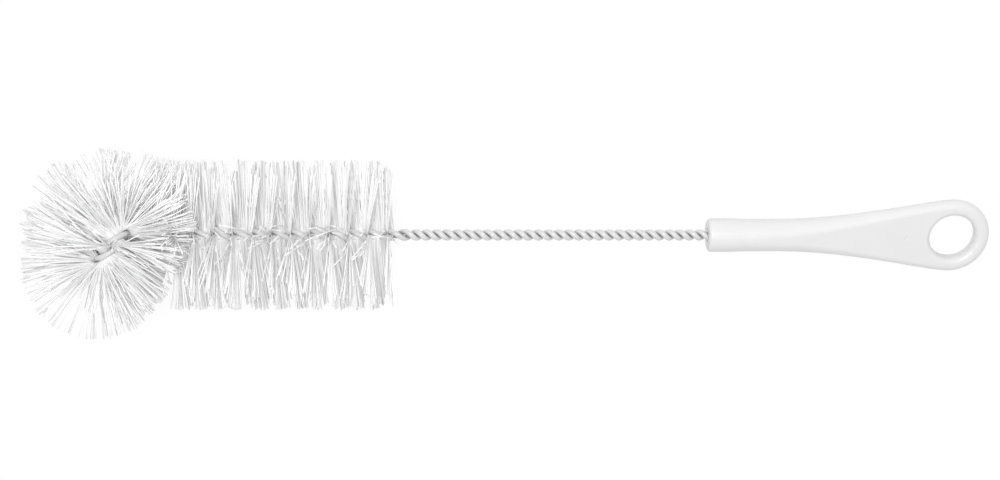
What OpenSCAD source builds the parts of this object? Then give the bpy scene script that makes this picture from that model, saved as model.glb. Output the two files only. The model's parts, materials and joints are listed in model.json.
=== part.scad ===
// Bottle brush: bristles held in a twisted, coated wire that ends in a ring,
// with a moulded handle that has a hole to hang it by.
// It lies on a bench: +X runs along the stem towards the handle, and +Z is up.

/* [Bristles] */
// Length of a bristle on each side of the wire
bristle_l = 30; // [27:0.5:31]
// Thickness of a bristle
bristle_d = 0.5; // [0.46:0.02:0.6]
// Tufts on the straight part of the brush, each filling half a turn of the wire
body_tufts = 10; // [6:1:12]
// Bristles in one tuft of the straight part
body_tuft_n = 17; // [17:1:19]
// Tufts around the ring at the tip
ring_tufts = 6; // [4:1:6]
// Bristles in one tuft of the ring
ring_tuft_n = 13; // [10:1:13]

/* [Wire] */
// Thickness of the wire with its coating
wire_d = 2.3; // [2:0.1:2.5]
// Length of one full turn of the two strands where they hold bristles
brush_lead = 15.7; // [15.4:0.1:16.6]
// Length of one full turn of the two strands on the bare stem
stem_lead = 8.4; // [7.8:0.2:10]
// Bare stem between the last bristle and the handle
stem_l = 128.5; // [80:0.5:180]
// Length of the wire that is held inside the handle
socket_l = 34; // [20:1:50]

/* [Ring at the tip] */
// Radius of the ring, to the middle of the twisted wire
ring_r = 9.75; // [9:0.25:11]
// Angle that the ring turns through
ring_turn = 310; // [300:1:316]
// Distance by which the ring's folded end lies nearer the handle than its start
ring_step = 9; // [7:0.5:10]
// Lean of the ring away from square to the stem
ring_lean = 26; // [22:1:30]
// Distance of the ring's middle from the line of the stem
ring_drop = 3.8; // [3:0.1:4.6]
// Roll of the ring about the stem, against the flat of the handle
ring_roll = -17; // [-40:1:40]
// Widest angle between a bristle and the outward direction of the ring
splay_max = 94; // [88:1:94]

/* [Handle] */
// Length of the handle
handle_l = 121; // [110:1:140]
// Width of the grip
grip_w = 13.5; // [12:0.1:14]
// Diameter of the collar where the wire goes in
collar_d = 14; // [13.6:0.1:16]
// Length of the collar
collar_l = 9; // [6:0.5:12]
// Outer diameter of the hanging ring
eye_d = 32; // [30:0.5:36]
// Diameter of the hanging hole
hole_d = 19.3; // [15:0.1:19.6]
// Thickness of the hanging ring
eye_t = 6.8; // [6:0.1:8]
// Length over which the grip flares out to the hanging ring
flare_l = 76; // [66:1:80]

/* [Hidden] */
function numbered(name, count) = [for (i = [1:count]) str(name, i < 10 ? "0" : "", i)];
body_names = numbered("body_tuft_", body_tufts);
ring_names = numbered("ring_tuft_", ring_tufts);

// Places along the stem, measured from beside the ring at the tip
front_gap = 36.5; // from there to the first bristles of the straight part
body_l = body_tufts * brush_lead / 2;
body_end_x = front_gap + body_l;
handle_x = body_end_x + stem_l;
eye_x = handle_x + handle_l - eye_d / 2;

// ---- small vector helpers
function unit(v) = v / norm(v);
function ramp(x, a, b) = let (u = min(1, max(0, (x - a) / (b - a)))) u * u * (3 - 2 * u);
function bezier(p, t) = pow(1 - t, 3) * p[0] + 3 * pow(1 - t, 2) * t * p[1]
    + 3 * (1 - t) * t * t * p[2] + pow(t, 3) * p[3];
function bezier_dir(p, t) = unit(pow(1 - t, 2) * (p[1] - p[0]) + 2 * (1 - t) * t * (p[2] - p[1])
    + t * t * (p[3] - p[2]));
function bezier_l(p, n = 24) = [for (i = [1:n]) norm(bezier(p, i / n) - bezier(p, (i - 1) / n))]
    * [for (i = [1:n]) 1];

// ---- the middle line of the twisted wire
// s is the length along it from the last bristle: negative on the stem, positive towards the tip.
// The ring turns in the plane of ring_up and Z, and faces the handle along ring_face. It is one open coil,
// which works its way along ring_face as it turns.
ring_face = [cos(ring_lean), -sin(ring_lean), 0];
ring_up = [sin(ring_lean), cos(ring_lean), 0];
ring_mid = [-1.2, -ring_drop, 0];
ring_from = -66;   // angle at which the wire joins the ring, from ring_up
bend_x = 27.5;     // where the wire starts to bend out to the ring
bend_pull = 11.5;  // how far each end of the bend holds its direction
ring_arc = ring_turn * PI / 180 * ring_r;

function outward(a) = cos(a) * ring_up + [0, 0, sin(a)];
function ring_point(a) = ring_mid + ring_r * outward(a)
    + ring_step * ((ring_from - a) / ring_turn - 0.5) * ring_face;
function ring_dir(a) = unit(sin(a) * ring_up - [0, 0, cos(a)] + ring_step / ring_arc * ring_face);

bend = [
    [bend_x, 0, 0],
    [bend_x - bend_pull, 0, 0],
    ring_point(ring_from) - bend_pull * ring_dir(ring_from),
    ring_point(ring_from)
];
straight_l = body_end_x - bend_x;
bend_l = bezier_l(bend);
ring_s = straight_l + bend_l;
ring_l = norm([ring_arc, ring_step]);
tip_s = ring_s + ring_l;

function ring_angle(s) = ring_from - (s - ring_s) / ring_l * ring_turn;
function core(s) = s < straight_l ? [body_end_x - s, 0, 0]
    : s < ring_s ? bezier(bend, (s - straight_l) / bend_l)
    : ring_point(ring_angle(s));
function core_dir(s) = s < straight_l ? [-1, 0, 0]
    : s < ring_s ? bezier_dir(bend, (s - straight_l) / bend_l)
    : ring_dir(ring_angle(s));
function side_1(s) = let (d = core_dir(s)) unit(ring_face - (ring_face * d) * d);
function side_2(s) = cross(core_dir(s), side_1(s));
function around(s, a) = cos(a) * side_1(s) + sin(a) * side_2(s);

// ---- the twist of the two strands, in degrees
// It slackens over settle_l where the bristles start, and fades out before the folded tip.
twist_start = -56;  // at the last bristle
settle_l = 8;
fade_l = 5;
function stem_turns(s) = s > -settle_l
    ? s / brush_lead - (1 / stem_lead - 1 / brush_lead) * s * s / (2 * settle_l)
    : stem_turns(-settle_l + 0.0001) + (s + settle_l) / stem_lead;
function brush_turns(s) = let (f = max(0, s - (tip_s - fade_l))) (s - f * f / (2 * fade_l)) / brush_lead;
function twist(s) = twist_start + 360 * (s < 0 ? stem_turns(s) : brush_turns(s));
strand_slack = 0.03;   // half the gap that stays between the strands where they hold nothing
function strand_off(s) = wire_d / 2 + strand_slack + bristle_d / 2 * ramp(s, -settle_l, 0);

// ---- the wire: one length, folded at the tip, its halves twisted together
wire_sides = 8;
rings_per_turn = 9;
// A section with wire_sides corners is as large as the round one
wire_corner_r = wire_d / 2 * sqrt(2 * PI / wire_sides / sin(360 / wire_sides));
stem_start = -(stem_l + socket_l);
function steps(a, b, step) = let (n = ceil((b - a) / step)) [for (i = [0:n - 1]) a + (b - a) * i / n];
strand_s = concat(
    steps(stem_start, -settle_l, stem_lead / rings_per_turn),
    steps(-settle_l, 0, 1.2 * stem_lead / rings_per_turn),
    steps(0, tip_s, brush_lead / rings_per_turn),
    [tip_s]
);

function strand(s, half) = core(s) + half * strand_off(s) * around(s, twist(s));
function strand_dir(s, half) = half * unit(strand(s + 0.01, half) - strand(s - 0.01, half));
function section(p, out, dir) = let (across = cross(dir, out))
    [for (k = [0:wire_sides - 1]) let (a = (k + 0.5) * 360 / wire_sides)
        p + wire_corner_r * (cos(a) * out + sin(a) * across)];
function strand_section(s, half) = let (out = half * around(s, twist(s)))
    section(strand(s, half), out, strand_dir(s, half));
function fold_section(a) =
    let (r = around(tip_s, twist(tip_s)), d = core_dir(tip_s), out = cos(a) * r + sin(a) * d)
    section(core(tip_s) + strand_off(tip_s) * out, out, cos(a) * d - sin(a) * r);

// Joins sections of n points each into one closed skin
module skin(sections) {
    n = len(sections[0]);
    last = len(sections) - 1;
    points = [for (ring = sections) each ring];
    walls = [for (i = [0:last - 1], k = [0:n - 1]) let (a = i * n + k, b = i * n + (k + 1) % n)
        each [[a, b + n, b], [a, a + n, b + n]]];
    ends = [for (k = [0:n / 2 - 2]) let (m = last * n, across = n - 1 - k)
        each [[k, k + 1, across], [k + 1, across - 1, across],
              [m + k + 1, m + k, m + across], [m + k + 1, m + across, m + across - 1]]];
    polyhedron(points, concat(walls, ends), convexity = 10);
}

module twisted_wire() {
    count = len(strand_s);
    color("whitesmoke") placed() rolled() skin(concat(
        [for (s = strand_s) strand_section(s, 1)],
        [for (a = [30:30:150]) fold_section(a)],
        [for (i = [1:count]) strand_section(strand_s[count - i], -1)]
    ));
}

// ---- bristles
// Each one is gripped between the strands at its middle and sticks out on both sides.
tuft_pitch = brush_lead / 2;
tuft_gap = 0.8;   // between the last bristle of a tuft of the straight part and the first of the next
ring_tufts_s = ring_s + (ring_l - ring_tufts * tuft_pitch) / 2;

function body_bristle_s(tuft, i) =
    tuft * tuft_pitch + tuft_gap / 2 + i * (tuft_pitch - tuft_gap) / (body_tuft_n - 1);
function ring_bristle_s(tuft, i) = ring_tufts_s + (tuft + (i + 0.5) / ring_tuft_n) * tuft_pitch;
function bristle_dir(s) = around(s, twist(s) + 90);

module body_tuft(number) {
    color("white") placed() rolled() for (i = [0:body_tuft_n - 1]) {
        s = body_bristle_s(number, i);
        dir = bristle_dir(s);
        translate(core(s)) rotate([0, acos(dir.z), atan2(dir.y, dir.x)])
            cylinder(h = 2 * bristle_l, d = bristle_d, center = true, $fn = 16);
    }
}

// Around the ring they bend where they leave the wire, because they crowd each other outwards: splay is
// the angle from the outward direction. Towards the handle they stop short of the straight bristles.
grip_l = 0.9;      // straight between the strands, on each side of the middle
turn_l = 2.6;      // length over which a bristle then turns to its free direction
reach_gap = 1.2;   // between their tips and the straight bristles
bristle_corner_r = bristle_d * sqrt(PI / 8);   // of a square section, as large as the round one

function splay(dir, s) = atan2(dir * side_1(s), dir * outward(ring_angle(s)));
function splayed(angle, s) = cos(angle) * outward(ring_angle(s)) + sin(angle) * side_1(s);
// The splay at which a bristle's tip would come within reach_gap of the straight bristles
function handle_limit(s) =
    let (out = outward(ring_angle(s)).x, face = side_1(s).x, most = norm([out, face]),
         reach = (front_gap - reach_gap - core(s).x) / bristle_l)
    reach >= most ? splay_max : min(splay_max, atan2(face, out) - acos(reach / most));
// One side of a bristle: the points where it leaves the wire, ends its turn and ends, each with a direction
function ring_side(s, half) =
    let (from = splay(half * bristle_dir(s), s), to = from * (from > 0 ? handle_limit(s) : splay_max) / 180)
    let (turned = function (part) splayed(from + part * (to - from), s))
    let (leave = core(s) + grip_l * turned(0), turn_end = leave + turn_l * turned(0.5))
    [[leave, turned(0.25)], [turn_end, turned(0.75)],
     [turn_end + (bristle_l - grip_l - turn_l) * turned(1), turned(1)]];
function ring_bristle(s) = let (back = ring_side(s, -1))
    concat([for (k = [2:-1:0]) [back[k][0], -back[k][1]]], ring_side(s, 1));
function bristle_section(p, along) = let (side = cross(along, p[1]), across = cross(p[1], side))
    [for (a = [45:90:315]) p[0] + bristle_corner_r * (cos(a) * side + sin(a) * across)];

module ring_tuft(number) {
    color("white") placed() rolled() for (i = [0:ring_tuft_n - 1]) {
        s = ring_bristle_s(number, i);
        skin([for (p = ring_bristle(s)) bristle_section(p, core_dir(s))]);
    }
}

// ---- handle
// Its outline flares in one curve from the grip to the hanging ring. Its edges are fully round.
eye_r = eye_d / 2;
grip_r = grip_w / 2;
collar_r = collar_d / 2;
nose_r = 1.6;      // rounding of the collar's front edge
flare = [[eye_x - flare_l, grip_r], [eye_x - flare_l + 33, grip_r], [eye_x - 10, eye_r], [eye_x, eye_r]];

function half_width(x) =
    grip_r + (collar_r - grip_r) * (1 - ramp(x, handle_x + collar_l, handle_x + collar_l + 6));
function half_height(x) = collar_r + (eye_t / 2 - collar_r) * ramp(x, handle_x + 5, eye_x - eye_r + 3);

edge_points = 14;  // on each of the two round edges of a section
function edge_angles() = [for (k = [0:edge_points - 1]) -90 + (k + 0.5) * 180 / edge_points];
// A section has a round edge on each side, turned about the middle of the hanging ring by turn
function handle_section(x, w, h, turn = 0) = [
    for (side = [1, -1], a = edge_angles()) let (out = w - h + h * cos(a))
        [x + out * sin(turn), side * out * cos(turn), side * h * sin(a)]
];
nose = [for (a = [0:30:60]) let (x = handle_x + nose_r * (1 - cos(a)), r = collar_r - nose_r * (1 - sin(a)))
    handle_section(x, r, r)];
grip_x = concat([handle_x + nose_r], steps(handle_x + collar_l - 1, eye_x - flare_l, 3));
grip = [for (x = grip_x) handle_section(x, half_width(x), min(half_width(x), half_height(x)))];
flared = [for (i = [0:16]) let (p = bezier(flare, i / 16))
    handle_section(p.x, p.y, min(p.y, half_height(p.x)))];
eye_end = [for (turn = [10, 20, 30, 40, 50, 60, 70, 79, 86]) handle_section(eye_x, eye_r, eye_t / 2, turn)];

module handle_body() {
    skin(concat(nose, grip, flared, eye_end));
}

// The hanging hole, with its edges rounded over
hole_edge_r = 2.4;
module hanging_hole() {
    flat = eye_t / 2 - hole_edge_r + 0.02;
    translate([eye_x, 0, 0]) rotate_extrude($fn = 96) {
        translate([0, -eye_t]) square([hole_d / 2, 2 * eye_t]);
        for (up = [0, 1]) mirror([0, up]) difference() {
            translate([hole_d / 2 - 1, flat]) square([hole_edge_r + 1, eye_t - flat]);
            translate([hole_d / 2 + hole_edge_r, flat]) circle(hole_edge_r, $fn = 64);
        }
    }
}

socket_r = 2.38;
module handle() {
    color("white") placed() difference() {
        handle_body();
        hanging_hole();
        translate([handle_x - 1, 0, 0]) rotate([0, 90, 0]) cylinder(h = socket_l + 2, r = socket_r, $fn = 48);
    }
}

// ---- lying on the bench
// The brush tilts until it rests on the rear edge of the bristles and on the end of the handle.
rear_x = body_end_x - tuft_gap / 2 + bristle_d / 2;
edge_x = eye_x + eye_r - eye_t / 2;
edge_off = sqrt(pow(edge_x - rear_x, 2) + pow(bristle_l, 2));
lie = acos(eye_t / 2 / edge_off) - atan2(edge_x - rear_x, bristle_l);
function laid(p) = [p.x * cos(lie) + p.z * sin(lie), p.y, p.z * cos(lie) - p.x * sin(lie)];
function roll_x(p) =
    [p.x, p.y * cos(ring_roll) - p.z * sin(ring_roll), p.y * sin(ring_roll) + p.z * cos(ring_roll)];

ring_tips = [for (n = [0:ring_tufts - 1], i = [0:ring_tuft_n - 1], half = [-1, 1])
    laid(roll_x(ring_side(ring_bristle_s(n, i), half)[2][0]))];
tip_xs = [for (p = ring_tips) p.x];
tip_ys = [for (p = ring_tips) p.y];
floor_z = laid([edge_x, 0, 0]).z - eye_t / 2;
end_x = laid([edge_x, 0, 0]).x + eye_t / 2;
stand = [-(min(tip_xs) + end_x) / 2, -(min(tip_ys) + max(tip_ys)) / 2, -floor_z];

module placed() translate(stand) rotate([0, lie, 0]) children();
module rolled() rotate([ring_roll, 0, 0]) children();

handle();
twisted_wire();
for (i = [0:body_tufts - 1]) body_tuft(i);
for (i = [0:ring_tufts - 1]) ring_tuft(i);
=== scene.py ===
import json
import math
import random

import bmesh
import bpy
from mathutils import Matrix, Vector, kdtree


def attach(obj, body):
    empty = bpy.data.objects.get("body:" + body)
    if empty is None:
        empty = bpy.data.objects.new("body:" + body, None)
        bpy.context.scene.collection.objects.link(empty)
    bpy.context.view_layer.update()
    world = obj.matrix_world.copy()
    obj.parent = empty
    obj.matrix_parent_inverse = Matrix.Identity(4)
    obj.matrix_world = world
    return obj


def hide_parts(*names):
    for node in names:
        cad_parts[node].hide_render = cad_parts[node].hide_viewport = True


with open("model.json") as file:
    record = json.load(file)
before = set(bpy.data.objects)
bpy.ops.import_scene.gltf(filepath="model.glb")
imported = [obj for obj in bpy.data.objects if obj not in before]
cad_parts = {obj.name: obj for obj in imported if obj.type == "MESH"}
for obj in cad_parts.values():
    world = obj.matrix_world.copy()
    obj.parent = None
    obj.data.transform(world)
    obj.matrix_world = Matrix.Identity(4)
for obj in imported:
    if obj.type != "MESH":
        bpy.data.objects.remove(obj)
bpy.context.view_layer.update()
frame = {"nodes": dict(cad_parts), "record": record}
mm = 0.001
print("frame loaded:", len(frame["nodes"]), "CAD pieces")

# The wire's line and twist, as the CAD part has them: millimetres, X along the stem from the middle of the tip ring
wire = {
    "thick": 2.3,            # one strand with its coating
    "slack": 0.03,           # half the gap between the strands on the bare stem
    "gripGap": 0.25,         # half of what the filaments add to that gap
    "stemEnd": 277.5,        # inside the handle
    "lastBristle": 115.0,
    "bendStart": 27.5,
    "bendPull": 11.5,
    "ringMiddle": (-1.2, -3.8, 0),
    "ringRadius": 9.75,
    "ringTurn": 310.0,       # degrees
    "ringStep": 9.0,         # the ring is an open coil: its folded end lies this much nearer the handle
    "ringLean": 26.0,
    "ringFrom": -66.0,
    "roll": -17.0,
    "twistStart": -56.0,     # degrees, at the last bristle
    "brushLead": 15.7,       # one full turn of the strands where they hold filaments
    "stemLead": 8.4,
    "settle": 8.0,           # the stretch where one twist changes into the other
    "fade": 5.0,             # the stretch where the twist ends before the fold
    "pointsPerTurn": 22,
    "foldSteps": 12,
    "bevelSteps": 6,
}
eyeX = 348.5                 # middle of the hanging hole

# The hanging hole's mount gives the brush's own frame: X along the stem, Z square to the flat of the handle
holeMount = frame["record"]["mounts"][0]
squareUp = Vector(holeMount["axis"]).normalized()
alongStem = Vector((squareUp.z, 0, -squareUp.x))
turned = Matrix((alongStem, Vector((0, 1, 0)), squareUp)).transposed().to_4x4()
brushPlace = Matrix.Translation(holeMount["pos_m"]) @ turned @ Matrix.Translation((-eyeX * mm, 0, 0))
brushFrame = brushPlace @ Matrix.Scale(mm, 4)
wireFrame = brushFrame @ Matrix.Rotation(math.radians(wire["roll"]), 4, "X")


# Small helpers
# sRGB hex to linear, with alpha
def linear(hexColour):
    channels = [int(hexColour[i:i + 2], 16) / 255 for i in (1, 3, 5)]
    return [c / 12.92 if c <= 0.04045 else ((c + 0.055) / 1.055) ** 2.4 for c in channels] + [1.0]


def addNode(tree, kind, values=None, links=None, **settings):
    node = tree.nodes.new("ShaderNode" + kind)
    for name, value in settings.items():
        setattr(node, name, value)
    for name, value in (values or {}).items():
        node.inputs[name].default_value = value
    for name, source in (links or {}).items():
        tree.links.new(source, node.inputs[name])
    return node


def addNoise(tree, coords, size, detail):
    values = {"Scale": 1 / (size * mm), "Detail": detail}
    return addNode(tree, "TexNoise", values, {"Vector": coords.outputs["Object"]})


# A bump of (strength, height in mm) on top of the normal of an earlier one
def addBump(tree, bump, height, below=None):
    links = {"Height": height.outputs[0]}
    if below:
        links["Normal"] = below.outputs[0]
    return addNode(tree, "Bump", {"Strength": bump[0], "Distance": bump[1] * mm}, links)


# 1 for what the camera sees, straight on, mirrored or through something clear; 0 for light on the brush
def addSeen(tree):
    rays = addNode(tree, "LightPath")
    direct = addNode(tree, "Math", links={0: rays.outputs["Is Camera Ray"], 1: rays.outputs["Is Glossy Ray"]},
                     operation="MAXIMUM")
    return addNode(tree, "Math", links={0: direct.outputs[0], 1: rays.outputs["Is Transmission Ray"]},
                   operation="MAXIMUM")


def newMaterial(name):
    material = bpy.data.materials.new(name)
    material.use_nodes = True
    material.node_tree.nodes.clear()
    return material, material.node_tree


def newMesh(name, bm):
    mesh = bpy.data.meshes.new(name)
    bm.to_mesh(mesh)
    bm.free()
    return mesh


def newObject(name, data):
    made = bpy.data.objects.new(name, data)
    bpy.context.scene.collection.objects.link(made)
    return made


def newPiece(name, mesh, material):
    piece = newObject(name, mesh)
    piece.data.materials.clear()
    piece.data.materials.append(material)
    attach(piece, "root")
    return piece


# Extrudes a ring of edges in place and gives the new ring's vertices and edges
def extrudeRing(bm, edges):
    grown = bmesh.ops.extrude_edge_only(bm, edges=edges)["geom"]
    verts = {item for item in grown if isinstance(item, bmesh.types.BMVert)}
    edges = [item for item in grown if isinstance(item, bmesh.types.BMEdge) and verts.issuperset(item.verts)]
    return list(verts), edges


def ramp(x, start, end):
    u = min(1.0, max(0.0, (x - start) / (end - start)))
    return u * u * (3 - 2 * u)


# The middle line of the twisted wire: s runs from the last bristle, below 0 on the stem, above 0 to the tip
ringLean = math.radians(wire["ringLean"])
ringFace = Vector((math.cos(ringLean), -math.sin(ringLean), 0))
ringUp = Vector((math.sin(ringLean), math.cos(ringLean), 0))
ringMiddle = Vector(wire["ringMiddle"])
ringFrom, ringTurn = math.radians(wire["ringFrom"]), math.radians(wire["ringTurn"])
ringArc = ringTurn * wire["ringRadius"]


def ringOutward(angle):
    return math.cos(angle) * ringUp + Vector((0, 0, math.sin(angle)))


def ringTangent(angle):
    turning = math.sin(angle) * ringUp - Vector((0, 0, math.cos(angle)))
    return (turning + wire["ringStep"] / ringArc * ringFace).normalized()


def ringPoint(angle):
    advance = wire["ringStep"] * ((ringFrom - angle) / ringTurn - 0.5)
    return ringMiddle + wire["ringRadius"] * ringOutward(angle) + advance * ringFace


def bezier(points, t):
    a, b, c, d = points
    return (1 - t) ** 3 * a + 3 * (1 - t) ** 2 * t * b + 3 * (1 - t) * t * t * c + t ** 3 * d


def bezierTangent(points, t):
    a, b, c, d = points
    return ((1 - t) ** 2 * (b - a) + 2 * (1 - t) * t * (c - b) + t * t * (d - c)).normalized()


ringStart = ringPoint(ringFrom)
bend = [
    Vector((wire["bendStart"], 0, 0)),
    Vector((wire["bendStart"] - wire["bendPull"], 0, 0)),
    ringStart - wire["bendPull"] * ringTangent(ringFrom),
    ringStart,
]
bendLength = sum((bezier(bend, (i + 1) / 24) - bezier(bend, i / 24)).length for i in range(24))
straightEnd = wire["lastBristle"] - wire["bendStart"]
ringS = straightEnd + bendLength
ringLength = math.hypot(ringArc, wire["ringStep"])
tipS = ringS + ringLength


def ringAngle(s):
    return ringFrom - (s - ringS) / ringLength * ringTurn


def middle(s):
    if s < straightEnd:
        return Vector((wire["lastBristle"] - s, 0, 0))
    if s < ringS:
        return bezier(bend, (s - straightEnd) / bendLength)
    return ringPoint(ringAngle(s))


def tangent(s):
    if s < straightEnd:
        return Vector((-1, 0, 0))
    if s < ringS:
        return bezierTangent(bend, (s - straightEnd) / bendLength)
    return ringTangent(ringAngle(s))


def around(s, angle):
    along = tangent(s)
    first = (ringFace - ringFace.dot(along) * along).normalized()
    return math.cos(angle) * first + math.sin(angle) * along.cross(first)


# Angle of the strands in radians: tight on the stem, slack in the bristles, fading out at the fold
def twist(s):
    lead, settle = wire["brushLead"], wire["settle"]
    start = math.radians(wire["twistStart"])
    if s >= 0:
        over = max(0.0, s - (tipS - wire["fade"]))
        return start + 2 * math.pi * (s - over * over / (2 * wire["fade"])) / lead
    near = max(s, -settle)
    turns = near / lead - (1 / wire["stemLead"] - 1 / lead) * near * near / (2 * settle)
    return start + 2 * math.pi * (turns + min(0.0, s + settle) / wire["stemLead"])


def strandOffset(s):
    return wire["thick"] / 2 + wire["slack"] + wire["gripGap"] * ramp(s, -wire["settle"], 0)


# Materials
polypropylene = {
    "colour": "#e1e1e1",
    "shade": "#dddddd",      # where the melt flowed together
    "roughness": 0.36,       # satin from a fine blasted mould
    "ior": 1.49,
    "grain": 0.5,            # mm, the mould's texture, coarser than the real 0.1 mm so that it shows
    "sink": 9.0,             # mm, slow waves where thick plastic shrank
    "flow": 14.0,            # mm, how slowly the two tones change
    "seam": 0.16,            # mm, half the width of the parting line
    "rim": 1.4,              # mm of rough skin where the collar was trimmed
    "rimGrain": 1.1,
    "seamBump": (0.5, 0.05),     # strength, height in mm
    "rimBump": (0.8, 0.5),
    "sinkBump": (0.25, 0.4),
    "grainBump": (0.18, 0.06),
    "glossSpread": (0.05, 0.07),     # how much smoother and rougher the grain makes it
    "glow": 0.2,             # share of the light that spreads inside the plastic
    "glowDepth": 3.0,
    "glowTint": (1.0, 0.95, 0.9),
}


# Injection-moulded polypropylene: a waxy white with a soft highlight, a parting line and a trimmed rim
def makePolypropylene():
    look = polypropylene
    material, tree = newMaterial("mouldedPolypropylene")
    backToBrush = brushPlace.inverted()
    coords = addNode(tree, "TexCoord")
    place = addNode(tree, "Mapping", {
        "Location": backToBrush.to_translation(),
        "Rotation": backToBrush.to_euler(),
    }, {"Vector": coords.outputs["Object"]})
    where = addNode(tree, "SeparateXYZ", links={"Vector": place.outputs[0]})
    flow = addNoise(tree, coords, look["flow"], 2.0)
    tint = addNode(tree, "MixRGB", {
        "Color1": linear(look["colour"]), "Color2": linear(look["shade"]),
    }, {"Fac": flow.outputs[0]})
    grain = addNoise(tree, coords, look["grain"], 3.0)
    sink = addNoise(tree, coords, look["sink"], 1.0)
    height = addNode(tree, "Math", {1: look["seam"] * mm}, {0: where.outputs["Z"]}, operation="DIVIDE")
    square = addNode(tree, "Math", {1: 2.0}, {0: height.outputs[0]}, operation="POWER")
    seam = addNode(tree, "Math", {0: 1.0}, {1: square.outputs[0]}, operation="SUBTRACT", use_clamp=True)
    rimEdge = (handleStart() + look["rim"]) * mm
    rim = addNode(tree, "MapRange", {
        "From Min": rimEdge, "From Max": rimEdge - look["rim"] * mm, "To Min": 0.0, "To Max": 1.0,
    }, {"Value": where.outputs["X"]})
    rough = addNoise(tree, coords, look["rimGrain"], 4.0)
    trimmed = addNode(tree, "Math", links={0: rim.outputs[0], 1: rough.outputs[0]}, operation="MULTIPLY")
    bump = addBump(tree, look["seamBump"], seam)
    bump = addBump(tree, look["rimBump"], trimmed, bump)
    bump = addBump(tree, look["sinkBump"], sink, bump)
    bump = addBump(tree, look["grainBump"], grain, bump)
    smoother, rougher = look["glossSpread"]
    gloss = addNode(tree, "MapRange", {
        "To Min": look["roughness"] - smoother, "To Max": look["roughness"] + rougher,
    }, {"Value": grain.outputs[0]})
    shader = addNode(tree, "BsdfPrincipled", {
        "IOR": look["ior"], "Subsurface Weight": look["glow"], "Subsurface Radius": look["glowTint"],
        "Subsurface Scale": look["glowDepth"] * mm,
    }, {"Base Color": tint.outputs[0], "Roughness": gloss.outputs[0], "Normal": bump.outputs[0]})
    addNode(tree, "OutputMaterial", links={"Surface": shader.outputs[0]})
    return material


coating = {
    "colour": "#d9d9d9",
    "shade": "#cacaca",      # thinner skin, where the steel greys it
    "roughness": 0.3,
    "ior": 1.52,
    "ripple": 1.6,           # mm, the extruded skin's slow ripple
    "rippleBump": (0.25, 0.12),
    "paintedGrooveShade": "#979797",       # painted shade in the groove between the strands
    "paintedShadeFrom": -0.35,       # cosine of the angle from the other strand where the painted shade begins
    "paintedShadeTo": 0.5,
}


# Extruded nylon skin on steel wire: smooth, bright, a little greyer where it is stretched thin, with shade painted
# darker into the groove between the strands
def makeCoating():
    look = coating
    material, tree = newMaterial("nylonCoatedWire")
    coords = addNode(tree, "TexCoord")
    ripple = addNoise(tree, coords, look["ripple"], 2.0)
    tint = addNode(tree, "MixRGB", {"Color1": linear(look["colour"]), "Color2": linear(look["shade"])},
                   {"Fac": ripple.outputs[0]})
    groove = addNode(tree, "Attribute", attribute_name="groove", attribute_type="GEOMETRY")
    # painted shade: the coating is darkened where the strands face each other
    withPaintedShade = addNode(tree, "MixRGB", {"Color2": linear(look["paintedGrooveShade"])},
                    {"Fac": groove.outputs["Fac"], "Color1": tint.outputs[0]})
    bump = addBump(tree, look["rippleBump"], ripple)
    shader = addNode(tree, "BsdfPrincipled", {"IOR": look["ior"], "Roughness": look["roughness"]},
                     {"Base Color": withPaintedShade.outputs[0], "Normal": bump.outputs[0]})
    addNode(tree, "OutputMaterial", links={"Surface": shader.outputs[0]})
    return material


filamentLook = {
    "bright": "#ffffff",
    "dullAndPaintedShade": "#c8c8c8",       # the dullest filament, a painted shade for the darker lines between the pale ones
    "roughness": 0.34,
    "ior": 1.55,
}


# Drawn polyester monofilament: milky white, with a tone of its own on each filament, the dullest ones a painted
# shade for the shadowed gaps between filaments
def makeFilament():
    look = filamentLook
    material, tree = newMaterial("drawnPolyester")
    tone = addNode(tree, "Attribute", attribute_name="tone", attribute_type="GEOMETRY")
    # painted shade: the dullest filaments stand in for the shadowed gaps between them
    tint = addNode(tree, "MixRGB", {"Color1": linear(look["bright"]), "Color2": linear(look["dullAndPaintedShade"])},
                   {"Fac": tone.outputs["Fac"]})
    shader = addNode(tree, "BsdfPrincipled", {"IOR": look["ior"], "Roughness": look["roughness"]},
                     {"Base Color": tint.outputs[0]})
    addNode(tree, "OutputMaterial", links={"Surface": shader.outputs[0]})
    return material


# The handle: one moulding, round at the collar and flat at the hanging ring
handle = {
    "length": 119.8,
    "grip": 13.5,
    "collar": 14.0,
    "collarLength": 9.0,
    "eye": 32.0,
    "hole": 19.3,
    "thick": 6.8,
    "flare": 76.0,
    "flarePull": (33.0, 10.0),
    "noseRound": 1.6,
    "holeRound": 2.4,
    "socket": 2.38,          # radius of the hole that the wire goes in
    "socketDepth": 16.0,
    "mouth": 0.25,           # bevel where the wire goes in
    "collarFade": 6.0,       # the stretch where the collar thins to the grip
    "flatFrom": 5.0,         # from the collar's end, where the handle starts to get flatter
    "flatPast": 3.0,         # past the start of the hanging ring, where it is flat
    "spokes": 24,            # points on each round edge
    "steps": {"nose": 8, "grip": 16, "flare": 40, "eye": 24, "hole": 8, "spin": 96},
    "cutterPast": 3.0,       # how far the hole's negative stands out above and below
    "cutterWider": 1.2,      # and beside its rounded edge
    "gate": (19.8, 0.9, 0.18),   # where the plastic came in: distance from the hanging hole, radius, depth
}


def handleStart():
    return eyeX + handle["eye"] / 2 - handle["length"]


# Half the handle's thickness at x
def halfHeight(x):
    collarR, eyeR = handle["collar"] / 2, handle["eye"] / 2
    flat = ramp(x, handleStart() + handle["flatFrom"], eyeX - eyeR + handle["flatPast"])
    return collarR + (handle["thick"] / 2 - collarR) * flat


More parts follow.
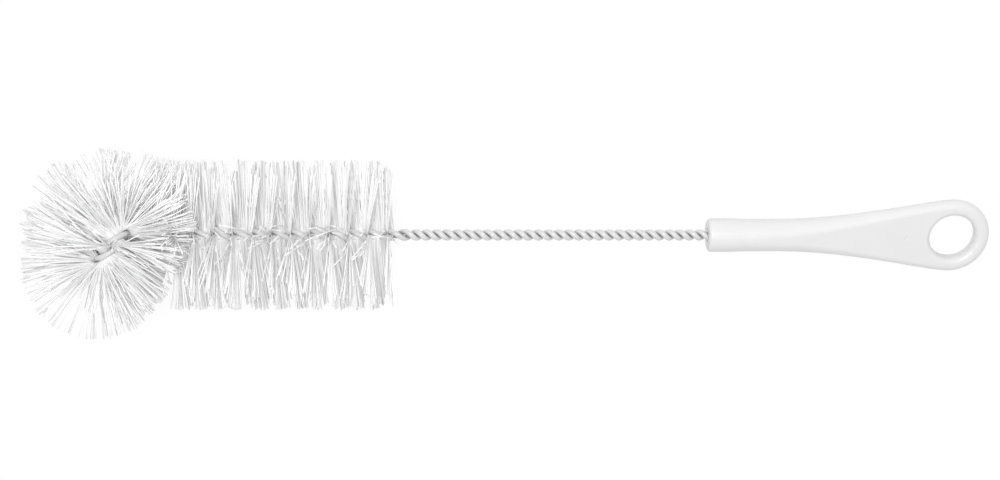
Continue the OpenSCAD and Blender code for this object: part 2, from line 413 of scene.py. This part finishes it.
# Points of one section: a round edge on each side, turned about the hanging hole by turn
def handleSection(x, halfWidth, halfHeight, turn=0.0):
    count = handle["spokes"]
    points = []
    for side in (1, -1):
        for k in range(count):
            angle = side * (-math.pi / 2 + (k + 0.5) * math.pi / count)
            out = halfWidth - halfHeight + halfHeight * math.cos(angle)
            points.append((x + out * math.sin(turn), side * out * math.cos(turn), halfHeight * math.sin(angle)))
    return points


def handleSections():
    gripR, collarR, eyeR = handle["grip"] / 2, handle["collar"] / 2, handle["eye"] / 2
    start, nose, socket, mouth = handleStart(), handle["noseRound"], handle["socket"], handle["mouth"]
    steps = handle["steps"]

    def gripWidth(x):
        collarEnd = start + handle["collarLength"]
        return gripR + (collarR - gripR) * (1 - ramp(x, collarEnd, collarEnd + handle["collarFade"]))

    sections = [
        handleSection(start + handle["socketDepth"], socket, socket),
        handleSection(start + mouth, socket, socket),
        handleSection(start, socket + mouth, socket + mouth),
    ]
    for i in range(steps["nose"] + 1):
        angle = math.pi / 2 * i / steps["nose"]
        radius = collarR - nose * (1 - math.sin(angle))
        sections.append(handleSection(start + nose * (1 - math.cos(angle)), radius, radius))
    flareStart = eyeX - handle["flare"]
    for i in range(1, steps["grip"]):
        x = start + nose + (flareStart - start - nose) * i / steps["grip"]
        sections.append(handleSection(x, gripWidth(x), min(gripWidth(x), halfHeight(x))))
    pulls = handle["flarePull"]
    flare = [Vector((flareStart, gripR)), Vector((flareStart + pulls[0], gripR)),
             Vector((eyeX - pulls[1], eyeR)), Vector((eyeX, eyeR))]
    for i in range(steps["flare"] + 1):
        x, width = bezier(flare, i / steps["flare"])
        sections.append(handleSection(x, width, min(width, halfHeight(x))))
    for i in range(1, steps["eye"] + 1):
        sections.append(handleSection(eyeX, eyeR, handle["thick"] / 2, math.pi / 2 * i / steps["eye"]))
    return sections


# The hanging hole's negative: a profile with rounded edges, spun once
def makeHoleCutter():
    holeR, edge = handle["hole"] / 2, handle["holeRound"]
    top = handle["thick"] / 2
    flat = top - edge
    outside, past = holeR + edge + handle["cutterWider"], -top - handle["cutterPast"]
    profile = [Vector((0, 0, past)), Vector((outside, 0, past)), Vector((outside, 0, -top - 0.02))]
    steps = handle["steps"]["hole"]
    for i in range(steps + 1):
        angle = math.pi / 2 * i / steps
        profile.append(Vector((holeR + edge - edge * math.sin(angle), 0, -flat - edge * math.cos(angle))))
    profile += [Vector((p.x, 0, -p.z)) for p in reversed(profile)]
    bm = bmesh.new()
    verts = [bm.verts.new(p) for p in profile]
    edges = [bm.edges.new(pair) for pair in zip(verts, verts[1:])]
    bmesh.ops.spin(bm, geom=verts + edges, cent=(0, 0, 0), axis=(0, 0, 1), angle=2 * math.pi,
                   steps=handle["steps"]["spin"], use_merge=True)
    bmesh.ops.remove_doubles(bm, verts=bm.verts, dist=0.001)
    bmesh.ops.recalc_face_normals(bm, faces=bm.faces)
    bmesh.ops.translate(bm, verts=bm.verts, vec=(eyeX, 0, 0))
    return newMesh("holeCutter", bm)


def makeGateCutter():
    distance, radius, depth = handle["gate"]
    bm = bmesh.new()
    bmesh.ops.create_uvsphere(bm, u_segments=24, v_segments=12, radius=1)
    bmesh.ops.scale(bm, verts=bm.verts, vec=(radius, radius, depth))
    bmesh.ops.translate(bm, verts=bm.verts, vec=(eyeX - distance, 0, halfHeight(eyeX - distance)))
    return newMesh("gateCutter", bm)


def cut(piece, cutterMesh):
    cutter = newObject("cutter", cutterMesh)
    modifier = piece.modifiers.new("cut", "BOOLEAN")
    modifier.operation = "DIFFERENCE"
    modifier.solver = "EXACT"
    modifier.object = cutter
    bpy.context.view_layer.update()
    shaped = piece.evaluated_get(bpy.context.evaluated_depsgraph_get())
    piece.data = bpy.data.meshes.new_from_object(shaped)
    piece.modifiers.clear()
    bpy.data.objects.remove(cutter)


def makeHandle(material):
    bm = bmesh.new()
    sections = handleSections()
    spoke = bm.verts.layers.int.new("spoke")
    ring = bmesh.ops.create_circle(bm, segments=2 * handle["spokes"], radius=1, cap_ends=True)["verts"]
    for index, vert in enumerate(ring):
        vert[spoke] = index
        vert.co = sections[0][index]
    edges = list(bm.edges)
    for section in sections[1:]:
        verts, edges = extrudeRing(bm, edges)
        for vert in verts:
            vert.co = section[vert[spoke]]
    bmesh.ops.remove_doubles(bm, verts=bm.verts, dist=0.02)   # the ring's two sides meet at its end
    bmesh.ops.recalc_face_normals(bm, faces=bm.faces)
    piece = newObject("mouldedHandle", newMesh("handle", bm))
    cut(piece, makeHoleCutter())
    cut(piece, makeGateCutter())
    piece.data.transform(brushFrame)
    piece.data.materials.clear()
    piece.data.materials.append(material)
    piece.data.shade_smooth()
    piece.modifiers.new("evenShading", "WEIGHTED_NORMAL")
    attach(piece, "root")
    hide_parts("handle")


# The wire: one length folded at the tip, its halves twisted together
def strandPoint(s, half):
    return middle(s) + half * strandOffset(s) * around(s, twist(s))


# 1 where a strand faces the other one, 0 on its outside: the mask of the shade painted into the groove
def markGroove(mesh, path, stops, foldPoints):
    sides = len(mesh.vertices) // len(path)
    caps = len(mesh.vertices) - sides * len(path)      # the points of both end caps come first
    places = stops + [tipS] * foldPoints + stops[::-1]
    groove = mesh.attributes.new("groove", "FLOAT", "POINT")
    for k, (center, s) in enumerate(zip(path, places)):
        inward = (wireFrame.to_3x3() @ (middle(s) - center)).normalized()
        for i in range(caps + k * sides, caps + (k + 1) * sides):
            outward = (mesh.vertices[i].co - wireFrame @ center).normalized()
            groove.data[i].value = ramp(outward.dot(inward), coating["paintedShadeFrom"], coating["paintedShadeTo"])


def makeWire(material):
    stemStart = wire["lastBristle"] - wire["stemEnd"]
    stops = []
    s = stemStart
    while s < tipS:
        stops.append(s)
        lead = wire["stemLead"] if s < 0 else wire["brushLead"]
        s += lead / wire["pointsPerTurn"]
    side, forward = around(tipS, twist(tipS)), tangent(tipS)
    fold = []
    for i in range(wire["foldSteps"] + 1):
        angle = math.pi * i / wire["foldSteps"]
        fold.append(middle(tipS) + strandOffset(tipS) * (math.cos(angle) * side + math.sin(angle) * forward))
    path = [strandPoint(s, 1) for s in stops] + fold + [strandPoint(s, -1) for s in reversed(stops)]
    curve = bpy.data.curves.new("coatedWire", "CURVE")
    curve.dimensions = "3D"
    curve.bevel_depth = wire["thick"] / 2 * mm
    curve.bevel_resolution = wire["bevelSteps"]
    curve.use_fill_caps = True
    spline = curve.splines.new("POLY")
    spline.points.add(len(path) - 1)
    for point, place in zip(spline.points, path):
        point.co = (wireFrame @ place).to_4d()
    spline.use_smooth = True
    holder = newObject("wireCurve", curve)
    bpy.context.view_layer.update()
    mesh = bpy.data.meshes.new_from_object(holder.evaluated_get(bpy.context.evaluated_depsgraph_get()))
    bpy.data.objects.remove(holder)
    markGroove(mesh, path, stops, len(fold))
    piece = newPiece("coatedWire", mesh, material)
    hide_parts("twisted_wire")


# Filaments: gripped at their middle between the strands, each one a thin bent rod
filament = {
    "thick": 0.47,
    "reach": (30.5, 30.0),   # from the middle of the wire to the trimmed tip
    "perMm": (8.0, 9.2),     # filaments in each millimetre of wire, on the straight part and on the ring
    "sides": 5,
    "stations": (0.0, 1.7, 3.8, 8.0, 17.0, 30.0),    # distances from the wire where a rod may bend
    "bendOver": (0.5, 5.5),      # mm from the wire where most of its bend lies
    "nearBend": 0.75,            # and how much of the bend that is
    "gripSpread": 0.1,       # mm, across the gap between the strands
    "trim": 0.5,             # mm, how unevenly the tips are cut
    "turnNoise": (4.0, 8.5),     # degrees round the wire, on the straight part and on the ring
    "leanNoise": (2.6, 9.0),     # degrees along the wire
    "clumpNoise": (1.5, 2.0),    # degrees that a clump leans and turns as one
    "draw": (0.3, 0.3),          # how far the rods of a clump draw together, 0 to 1
    "dulledAndPaintedShade": (1.0, 0.7),        # how dull the dullest filament is, 0 to 1; the dull end is painted shade for the gaps
    "clumpSize": 7,
    "strays": 0.01,          # share that handling has pushed out of line
    "strayNoise": 15.0,
    "untrimmed": 4.6,        # mm that the ball's tips stand further out on its upper outer side
    "untrimmedWay": (-0.72, 0.7, 0),
    "untrimmedFrom": (0.75, 0.96),   # cosine from that way where this begins and is full
    "stemRoom": 1.0,         # mm of bare stem that the last tips may reach over
    "gripReach": 4.0,        # mm from the wire's middle where a rod has left its grip
    "touch": 0.1,            # mm that it may press into the coating there
    "probe": 0.25,           # mm between the places where it is tried against the wire
    "attempts": 30,          # how often a rod is drawn again when it would run through the wire
    "benchGap": 0.15,        # mm, rods that touch the bench lie along it
    "seed": 7,
}
tufts = {
    "body": 10, "ring": 6,
    "pitch": wire["brushLead"] / 2,
    "flatSide": -61.0,       # degrees: the straight part is pressed a little flat, this way and opposite
    "flatten": (0.8, 0.42),  # what is left of a rod's angle from the flat sides, underneath and on top
    "partAt": -78.0,         # degrees from the flat side: here the rods on top part to both sides
    "fan": 7.5,              # degrees that a fan opens to each side
    "slant": 2.5,            # degrees that the fans slant along the wire
    "fanNoise": (3.0, 1.8),  # degrees that a whole fan is off, round and along the wire
    "gather": 2.4,           # mm that the lower fans are drawn along to the rods on top
    "stars": 0.28,           # share of the rods on top that still stand up, splayed
    "starWay": (-98.0, 6.0),     # degrees from the flat side, and along the wire
    "starNoise": (7.0, 10.0),
    "splayMax": 94.0,        # widest angle from the ring's outward direction
    "parting": 0.62,         # below 1, the rods part over the wire like hair
    "fillBend": 33.0,        # degrees that the rods inside the bend lean on towards the ball
    "fillCoil": 38.0,        # degrees that the rods at the coil's start lean back into its open side
    "fillCoilEnd": 9.0,      # mm of the coil over which that lean ends
    "handleSide": 88.0,      # widest angle on the side that faces the handle
    "ringFeel": (6.0, 0.3),  # mm before the bend, and share of the bend, over which the ring's ways take over
    "bendPieces": 4,
    "tipExtra": 2.5,         # mm past the last half turn that still hold filaments
}
ringTuftsS = ringS + (ringLength - tufts["ring"] * tufts["pitch"]) / 2


# A straight rod of unit radius: ring k lies at height k, so that a copy's rings can be moved onto its route
def rodTemplate():
    rings = 2 * len(filament["stations"]) - 1
    bm = bmesh.new()
    bmesh.ops.create_circle(bm, segments=filament["sides"], radius=1, cap_ends=True)
    edges = list(bm.edges)
    for k in range(1, rings):
        verts, edges = extrudeRing(bm, edges)
        bmesh.ops.translate(bm, verts=verts, vec=(0, 0, 1))
    bmesh.ops.contextual_create(bm, geom=edges)
    bmesh.ops.recalc_face_normals(bm, faces=bm.faces)
    return newMesh("rodTemplate", bm)


# The side that the rods are pushed to, square to the wire: away from the ring's middle, and below on the bend
def outwardAt(s):
    along = tangent(s)
    away = ringOutward(ringAngle(max(s, ringS)))
    return (away - away.dot(along) * along).normalized()


def mix(pair, share):
    return pair[0] + (pair[1] - pair[0]) * share


# Degrees brought to between -180 and 180
def wrapped(angle):
    return (angle + 180) % 360 - 180


# 0 on the straight part, 1 on the ring
def bendShare(s):
    before, share = tufts["ringFeel"]
    return ramp(s, straightEnd - before, straightEnd + share * bendLength)


# A rod's angle from the flat side, and which of the two flat sides it is pressed to
def flatSideOf(angle):
    v = wrapped(angle - tufts["flatSide"])
    return v, 0 if tufts["partAt"] < v < 90 else 180


# On the straight part the rods are pressed flat to both sides, on the ring their neighbours push them outwards
def crowded(angle, s):
    limit = tufts["splayMax"]
    if angle > 0:
        outward = ringAngle(max(s, ringS))
        limit = min(limit, tufts["handleSide"] - wire["ringLean"] * math.cos(outward))
    pushed = math.copysign(limit * (abs(angle) / 180) ** tufts["parting"], angle)
    v, side = flatSideOf(angle)
    kept = mix(tufts["flatten"], (1 - math.sin(math.radians(v))) / 2)
    flat = wrapped(v - side) * (kept - 1)
    return angle + mix((flat, pushed - angle), bendShare(s))


# Turn and lean of the fan of the straight part that a rod belongs to
def fanWay(angle, s):
    v, side = flatSideOf(angle)
    across = wrapped(v - side) / 90
    fanNumber = round((s - across * tufts["pitch"] / 2) / tufts["pitch"])
    rng = random.Random(fanNumber + side + 1000 * filament["seed"])
    turn, lean = (rng.gauss(0, noise) for noise in tufts["fanNoise"])
    gathered = tufts["gather"] / filament["reach"][0] * (side / 180) * math.cos(math.radians(v))
    slant = tufts["slant"] * math.cos(math.radians(side))
    return turn, lean + tufts["fan"] * across + slant + math.degrees(gathered)


# Lean along the wire of the rods that close the gaps beside the bend
def bendLean(angle, s):
    if angle > 0:
        through = (s - straightEnd) / (ringS - straightEnd)
        return tufts["fillBend"] * math.sin(math.pi * min(1.0, max(0.0, through)))
    return -tufts["fillCoil"] * ramp(s, straightEnd, ringS) * (1 - ramp(s, ringS, ringS + tufts["fillCoilEnd"]))


# Points of one side of a rod, from the wire to the tip, in the wire's frame: it leaves the gap between the
# strands square to it, and bends to where its neighbours and its clump leave room
def rodRoute(s, half, clump, rng):
    along, outward = tangent(s), outwardAt(s)
    facing = along.cross(outward)
    root = half * around(s, twist(s) + math.pi / 2)
    rootAngle = math.degrees(math.atan2(root.dot(facing), root.dot(outward)))
    inRing = bendShare(s)
    draw = mix(filament["draw"], inRing)
    leanNoise = filament["strayNoise"] if rng.random() < filament["strays"] else mix(filament["leanNoise"], inRing)
    ownAngle = crowded(rootAngle, s)
    freeAngle = ownAngle + rng.gauss(0, mix(filament["turnNoise"], inRing)) + clump["turn"][half]
    drawn = wrapped(crowded(clump["angle"][half], s) - ownAngle)
    if abs(drawn) < 90:
        freeAngle += draw * drawn
    reach = mix(filament["reach"], inRing) + rng.uniform(-filament["trim"], filament["trim"])
    v = math.radians(rootAngle - tufts["flatSide"])
    gather = (1 - inRing) * tufts["gather"] * max(0.0, -math.cos(v))
    fanTurn, fanLean = fanWay(rootAngle, s)
    freeAngle += (1 - inRing) * fanTurn
    lean = rng.gauss(0, leanNoise) + clump["lean"][half] + (1 - inRing) * fanLean + bendLean(rootAngle, s)
    if rng.random() < (1 - inRing) * tufts["stars"] * max(0.0, -math.sin(v)) ** 3:
        freeAngle = tufts["flatSide"] + rng.gauss(tufts["starWay"][0], tufts["starNoise"][0])
        freeAngle += 360 * round((rootAngle - freeAngle) / 360)
        lean = rng.gauss(tufts["starWay"][1], tufts["starNoise"][1])
    lean = math.radians(lean) + draw * (clump["s"] - s) / reach
    lean = max(lean, -(s + filament["stemRoom"]) / reach)

    def way(bent):
        angle = math.radians(rootAngle + (freeAngle - rootAngle) * bent)
        square = math.cos(angle) * outward + math.sin(angle) * facing
        return math.cos(lean * bent) * square + math.sin(lean * bent) * along

    toUntrimmed = way(1).dot(Vector(filament["untrimmedWay"]))
    reach += inRing * filament["untrimmed"] * ramp(toUntrimmed, *filament["untrimmedFrom"])
    points = [middle(s)]
    stations, nearBend = filament["stations"], filament["nearBend"]
    for near, far in zip(stations, stations[1:]):
        mid = (near + far) / 2
        bent = ramp(mid, *filament["bendOver"]) * nearBend + (1 - nearBend) * mid / stations[-1]
        points.append(points[-1] + way(bent) * (far - near) * reach / stations[-1])
        if near == 0:
            points[-1] += gather * along
    return points


# Points along both strands, to find the filaments that would run through the wire
def strandTree():
    count = 2000
    stops = [tipS * i / count for i in range(count + 1)]
    tree = kdtree.KDTree(2 * len(stops))
    for i, s in enumerate(stops):
        tree.insert(strandPoint(s, 1), 2 * i)
        tree.insert(strandPoint(s, -1), 2 * i + 1)
    tree.balance()
    return tree


strandAxes = strandTree()


# Whether one side of a rod stays out of the wire once it has left its grip
def clearsWire(route):
    closest = (wire["thick"] + filament["thick"]) / 2 - filament["touch"]
    for near, far in zip(route, route[1:]):
        steps = max(2, round((far - near).length / filament["probe"]))
        for i in range(steps + 1):
            point = near.lerp(far, i / steps)
            if (point - route[0]).length > filament["gripReach"] and strandAxes.find(point)[2] < closest:
                return False
    return True


# A point in the row frame, kept above the bench
def layOnBench(point):
    lowest = filament["benchGap"] * mm
    if point.z < lowest:
        point.z = lowest
    return point


def addRod(bm, template, route, along, tone, toneLayer):
    count = len(bm.verts)
    bm.from_mesh(template)
    bm.verts.ensure_lookup_table()
    radius = filament["thick"] / 2 * mm
    last = len(route) - 1
    for vert in bm.verts[count:]:
        k = round(vert.co.z)
        heading = (route[min(k + 1, last)] - route[max(k - 1, 0)]).normalized()
        side = along.cross(heading).normalized()
        offset = vert.co.x * side + vert.co.y * heading.cross(side)
        vert.co = route[k] + radius * offset
        vert[toneLayer] = tone


# What the rods of one clump share
def newClump(s, noise, rng):
    outward = outwardAt(s)
    facing = tangent(s).cross(outward)
    root = around(s, twist(s) + math.pi / 2)
    return {
        "s": s,
        "angle": {half: math.degrees(math.atan2(half * root.dot(facing), half * root.dot(outward)))
                  for half in (1, -1)},
        "turn": {half: rng.gauss(0, noise) for half in (1, -1)},
        "lean": {half: rng.gauss(0, noise) for half in (1, -1)},
    }


# Both sides of one rod, drawn again until they stay out of the wire; none when there is no room
def rodSides(s, clump, rng):
    sideways = rng.uniform(-1, 1) * filament["gripSpread"] * around(s, twist(s))
    for attempt in range(filament["attempts"]):
        there, back = ([p + sideways for p in rodRoute(s, half, clump, rng)] for half in (1, -1))
        if clearsWire(there) and clearsWire(back):
            return there, back
    return None


def nameSeed(name):
    return sum((i + 1) * ord(letter) for i, letter in enumerate(name))


def makeTuft(name, material, template, fromS, toS, nodes):
    rng = random.Random(filament["seed"] + nameSeed(name))
    bm = bmesh.new()
    toneLayer = bm.verts.layers.float.new("tone")
    density = mix(filament["perMm"], bendShare((fromS + toS) / 2))
    count = round((toS - fromS) * density)
    clump = None
    made = 0
    for i in range(count):
        s = fromS + (i + 0.5) * (toS - fromS) / count
        if i % filament["clumpSize"] == 0:
            clumpS = min(toS, s + filament["clumpSize"] / 2 / density)
            clump = newClump(clumpS, mix(filament["clumpNoise"], bendShare(s)), rng)
        sides = rodSides(s, clump, rng)
        if not sides:
            continue
        there, back = sides
        made += 1
        route = [layOnBench(wireFrame @ p) for p in back[:0:-1] + there]
        along = (wireFrame.to_3x3() @ tangent(s)).normalized()
        tone = mix(filament["dulledAndPaintedShade"], bendShare(s)) * rng.random() ** 4     # a few are much duller than the rest: painted shade standing in for the shadowed gaps between filaments
        addRod(bm, template, route, along, tone, toneLayer)
    mesh = newMesh(name, bm)
    mesh.shade_smooth()
    piece = newPiece(name, mesh, material)
    if nodes:
        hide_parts(*nodes)
    return made


def makeFilaments(material):
    template = rodTemplate()
    pitch, parts, last = tufts["pitch"], tufts["bendPieces"], tufts["ring"] - 1
    made = 0
    for i in range(tufts["body"]):
        start = i * pitch
        made += makeTuft(f"bodyFilaments{i + 1:02d}", material, template, start, start + pitch,
                         [f"body_tuft_{i + 1:02d}"])
    bodyEnd = tufts["body"] * pitch
    step = (ringTuftsS - bodyEnd) / parts
    for i in range(parts):
        made += makeTuft(f"bendFilaments{i + 1:02d}", material, template, bodyEnd + i * step,
                         bodyEnd + (i + 1) * step, [])
    for i in range(tufts["ring"]):
        start = ringTuftsS + i * pitch
        end = start + pitch + (tufts["tipExtra"] if i == last else 0)
        made += makeTuft(f"ringFilaments{i + 1:02d}", material, template, start, end,
                         [f"ring_tuft_{i + 1:02d}"])
    bpy.data.meshes.remove(template)
    print("filaments:", made)


# The studio: white floor, white surroundings, soft light
studio = {
    "floorSize": 6.0,
    "floorColour": "#f2f2f2",
    "shadowShare": 0.12,     # how much of the floor's own light and shadow the camera sees
    "floorWhite": 1.02,      # strength of the white that the camera sees in place of the lit floor
    "skyStrength": 0.58,
    "keyStrength": 14.4,     # watts
    "keySize": 0.45,         # metres
    "keyFrom": (-0.05, 0.62, 1.34),
}


def makeFloor():
    material, tree = newMaterial("whitePaperFloor")
    seen = addSeen(tree)
    share = addNode(tree, "Math", {1: 1 - studio["shadowShare"]}, {0: seen.outputs[0]}, operation="MULTIPLY")
    paper = addNode(tree, "BsdfDiffuse", {"Color": linear(studio["floorColour"])})
    white = addNode(tree, "Emission", {"Color": (1, 1, 1, 1), "Strength": studio["floorWhite"]})
    mixed = addNode(tree, "MixShader", links={0: share.outputs[0], 1: paper.outputs[0], 2: white.outputs[0]})
    addNode(tree, "OutputMaterial", links={"Surface": mixed.outputs[0]})
    bm = bmesh.new()
    bmesh.ops.create_grid(bm, x_segments=1, y_segments=1, size=studio["floorSize"] / 2)
    floor = newObject("floor", newMesh("floor", bm))
    floor.data.materials.append(material)


def makeSky():
    world = bpy.data.worlds.new("studio")
    bpy.context.scene.world = world
    world.use_nodes = True
    tree = world.node_tree
    tree.nodes.clear()
    seen = addSeen(tree)
    soft = addNode(tree, "Background", {"Color": (1, 1, 1, 1), "Strength": studio["skyStrength"]})
    white = addNode(tree, "Background", {"Color": (1, 1, 1, 1), "Strength": 1.0})
    mixed = addNode(tree, "MixShader", links={0: seen.outputs[0], 1: soft.outputs[0], 2: white.outputs[0]})
    addNode(tree, "OutputWorld", links={"Surface": mixed.outputs[0]})


def makeKeyLight(target):
    data = bpy.data.lights.new("keyLight", "AREA")
    data.shape = "SQUARE"
    data.size = studio["keySize"]
    data.energy = studio["keyStrength"]
    key = newObject("keyLight", data)
    key.location = target + Vector(studio["keyFrom"])
    key.rotation_mode = "QUATERNION"
    key.rotation_quaternion = (target - key.location).to_track_quat("-Z", "Y")


# The camera: above the brush, leaning over from its far side, with the stem level across the picture
shot = {
    "distance": 0.95,
    "tilt": 24.3,            # degrees from straight above
    "lens": 83.1,
    "aimX": 158.3,           # mm, the point of the stem in the middle of the picture
    "aimDown": 2.06,         # mm, how far below the stem the middle of the picture is
}


def makeCamera():
    aim = brushFrame @ Vector((shot["aimX"], 0, 0))
    tilt = math.radians(shot["tilt"])
    back = Vector((0, math.sin(tilt), math.cos(tilt)))
    across = (alongStem - alongStem.dot(back) * back).normalized()
    up = back.cross(across)
    data = bpy.data.cameras.new("camera")
    data.lens = shot["lens"]
    data.sensor_width = 36
    data.clip_start, data.clip_end = 0.05, 20
    camera = newObject("camera", data)
    place = Matrix((across, up, back)).transposed().to_4x4()
    place.translation = aim + back * shot["distance"] - up * shot["aimDown"] * mm
    camera.matrix_world = place
    bpy.context.scene.camera = camera


# Build
bpy.context.scene.view_settings.view_transform = "Standard"
makeCamera()
makeHandle(makePolypropylene())
print("handle made")
makeWire(makeCoating())
print("wire made")
makeFilaments(makeFilament())
makeFloor()
makeSky()
makeKeyLight(brushFrame @ Vector((shot["aimX"], 0, 0)))
print("studio made")
